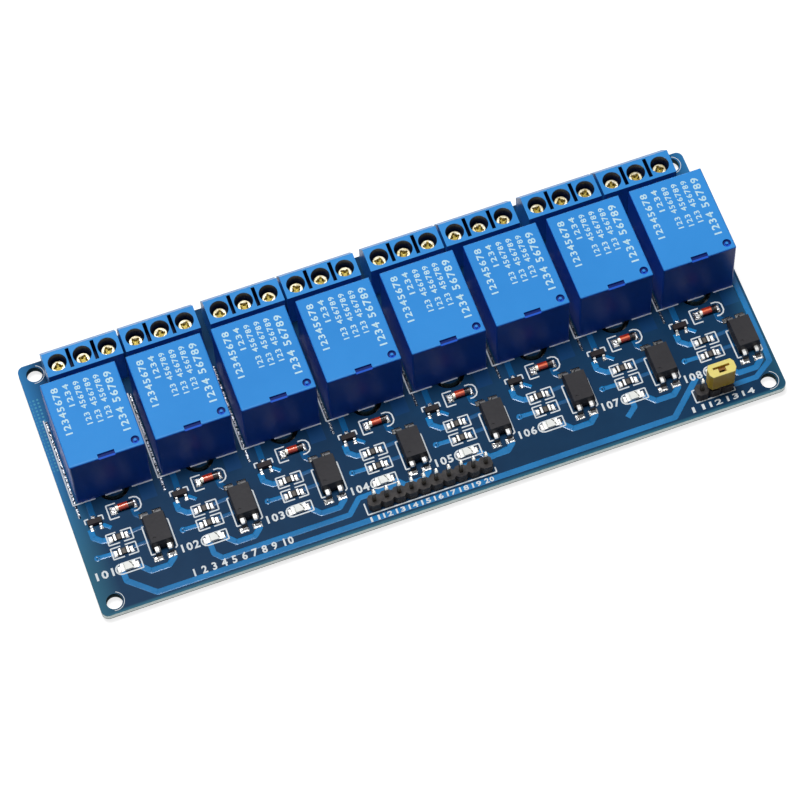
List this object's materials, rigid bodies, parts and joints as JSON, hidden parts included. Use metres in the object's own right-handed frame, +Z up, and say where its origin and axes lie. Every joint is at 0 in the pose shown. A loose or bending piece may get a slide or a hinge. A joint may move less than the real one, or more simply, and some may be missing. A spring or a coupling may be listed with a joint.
{
  "type": "relay module board",
  "caption": "Long circuit board with a row of boxed relays, screw terminals behind them, a driver circuit in front of each, two pin headers and a jumper cap.",
  "frame": {"origin": "centre of the rectangle of mounting holes, on the underside of the board", "axes": "+X along the row of relays towards the power header's end, +Y from the header edge to the screw terminals, +Z up out of the board's component side"},
  "size_m": [0.1406, 0.0568, 0.0188],
  "materials": {
    "solder_mask": "satin, dark blue solder mask on glass laminate",
    "relay_plastic": "glossy moulded blue plastic",
    "relay_base_plastic": "matt dark blue moulding",
    "bobbin_plastic": "matt ivory moulding",
    "enamelled_wire": "copper winding wire under clear enamel",
    "relay_iron": "plated soft iron",
    "contact_metal": "bright contact brass",
    "tinned_metal": "bright tinned metal",
    "terminal_plastic": "satin moulded blue plastic",
    "screw_brass": "plated cross-slotted screws",
    "package_plastic": "matt dark grey moulded package",
    "transistor_plastic": "matt black moulded package",
    "diode_glass": "orange-red glass",
    "resistor_film": "black glaze",
    "light_resin": "milky moulded resin",
    "header_plastic": "matt black moulding",
    "pin_metal": "bright plated pins",
    "jumper_plastic": "satin yellow moulding",
    "solder": "bright solder"
  },
  "bodies": {
    "module": {"circuit_board": "solder_mask", "relay_case_1": "relay_plastic", "relay_case_2": "relay_plastic", "relay_case_3": "relay_plastic", "relay_case_4": "relay_plastic", "relay_case_5": "relay_plastic", "relay_case_6": "relay_plastic", "relay_case_7": "relay_plastic", "relay_case_8": "relay_plastic", "relay_bases": "relay_base_plastic", "relay_bobbins": "bobbin_plastic", "relay_coils": "enamelled_wire", "relay_yokes": "relay_iron", "relay_contacts": "contact_metal", "relay_pins": "tinned_metal", "terminal_block_1": "terminal_plastic", "terminal_block_2": "terminal_plastic", "terminal_block_3": "terminal_plastic", "terminal_block_4": "terminal_plastic", "terminal_block_5": "terminal_plastic", "terminal_block_6": "terminal_plastic", "terminal_block_7": "terminal_plastic", "terminal_block_8": "terminal_plastic", "terminal_screws": "screw_brass", "terminal_clamps": "tinned_metal", "terminal_pins": "tinned_metal", "optocoupler_1": "package_plastic", "optocoupler_2": "package_plastic", "optocoupler_3": "package_plastic", "optocoupler_4": "package_plastic", "optocoupler_5": "package_plastic", "optocoupler_6": "package_plastic", "optocoupler_7": "package_plastic", "optocoupler_8": "package_plastic", "optocoupler_leads": "tinned_metal", "transistors": "transistor_plastic", "transistor_leads": "tinned_metal", "diodes": "diode_glass", "diode_caps": "tinned_metal", "resistors": "resistor_film", "resistor_ends": "tinned_metal", "chip_lights": "light_resin", "chip_light_ends": "tinned_metal", "signal_header": "header_plastic", "signal_pins": "pin_metal", "power_header": "header_plastic", "power_pins": "pin_metal", "solder_joints": "solder"},
    "armature_1": {"relay_armature_1": "relay_iron"},
    "armature_2": {"relay_armature_2": "relay_iron"},
    "armature_3": {"relay_armature_3": "relay_iron"},
    "armature_4": {"relay_armature_4": "relay_iron"},
    "armature_5": {"relay_armature_5": "relay_iron"},
    "armature_6": {"relay_armature_6": "relay_iron"},
    "armature_7": {"relay_armature_7": "relay_iron"},
    "armature_8": {"relay_armature_8": "relay_iron"},
    "jumper": {"jumper_cap": "jumper_plastic", "jumper_clip": "tinned_metal"}
  },
  "joints": [
    {"name": "armature_hinge_1", "type": "hinge", "parent": "module", "child": "armature_1", "pos_m": [-0.0601, -0.00245, 0.0132], "axis": [-1, 0, 0], "range_deg": [0, 2], "stiffness_Nm_per_rad": 0.001, "springref_deg": -5.73},
    {"name": "armature_hinge_2", "type": "hinge", "parent": "module", "child": "armature_2", "pos_m": [-0.0428, -0.00245, 0.0132], "axis": [-1, 0, 0], "range_deg": [0, 2], "stiffness_Nm_per_rad": 0.001, "springref_deg": -5.73},
    {"name": "armature_hinge_3", "type": "hinge", "parent": "module", "child": "armature_3", "pos_m": [-0.0255, -0.00245, 0.0132], "axis": [-1, 0, 0], "range_deg": [0, 2], "stiffness_Nm_per_rad": 0.001, "springref_deg": -5.73},
    {"name": "armature_hinge_4", "type": "hinge", "parent": "module", "child": "armature_4", "pos_m": [-0.0082, -0.00245, 0.0132], "axis": [-1, 0, 0], "range_deg": [0, 2], "stiffness_Nm_per_rad": 0.001, "springref_deg": -5.73},
    {"name": "armature_hinge_5", "type": "hinge", "parent": "module", "child": "armature_5", "pos_m": [0.0091, -0.00245, 0.0132], "axis": [-1, 0, 0], "range_deg": [0, 2], "stiffness_Nm_per_rad": 0.001, "springref_deg": -5.73},
    {"name": "armature_hinge_6", "type": "hinge", "parent": "module", "child": "armature_6", "pos_m": [0.0264, -0.00245, 0.0132], "axis": [-1, 0, 0], "range_deg": [0, 2], "stiffness_Nm_per_rad": 0.001, "springref_deg": -5.73},
    {"name": "armature_hinge_7", "type": "hinge", "parent": "module", "child": "armature_7", "pos_m": [0.0437, -0.00245, 0.0132], "axis": [-1, 0, 0], "range_deg": [0, 2], "stiffness_Nm_per_rad": 0.001, "springref_deg": -5.73},
    {"name": "armature_hinge_8", "type": "hinge", "parent": "module", "child": "armature_8", "pos_m": [0.061, -0.00245, 0.0132], "axis": [-1, 0, 0], "range_deg": [0, 2], "stiffness_Nm_per_rad": 0.001, "springref_deg": -5.73},
    {"name": "jumper_lift", "type": "slide", "parent": "module", "child": "jumper", "axis": [0, 0, 1], "range_m": [0, 0.005]}
  ]
}
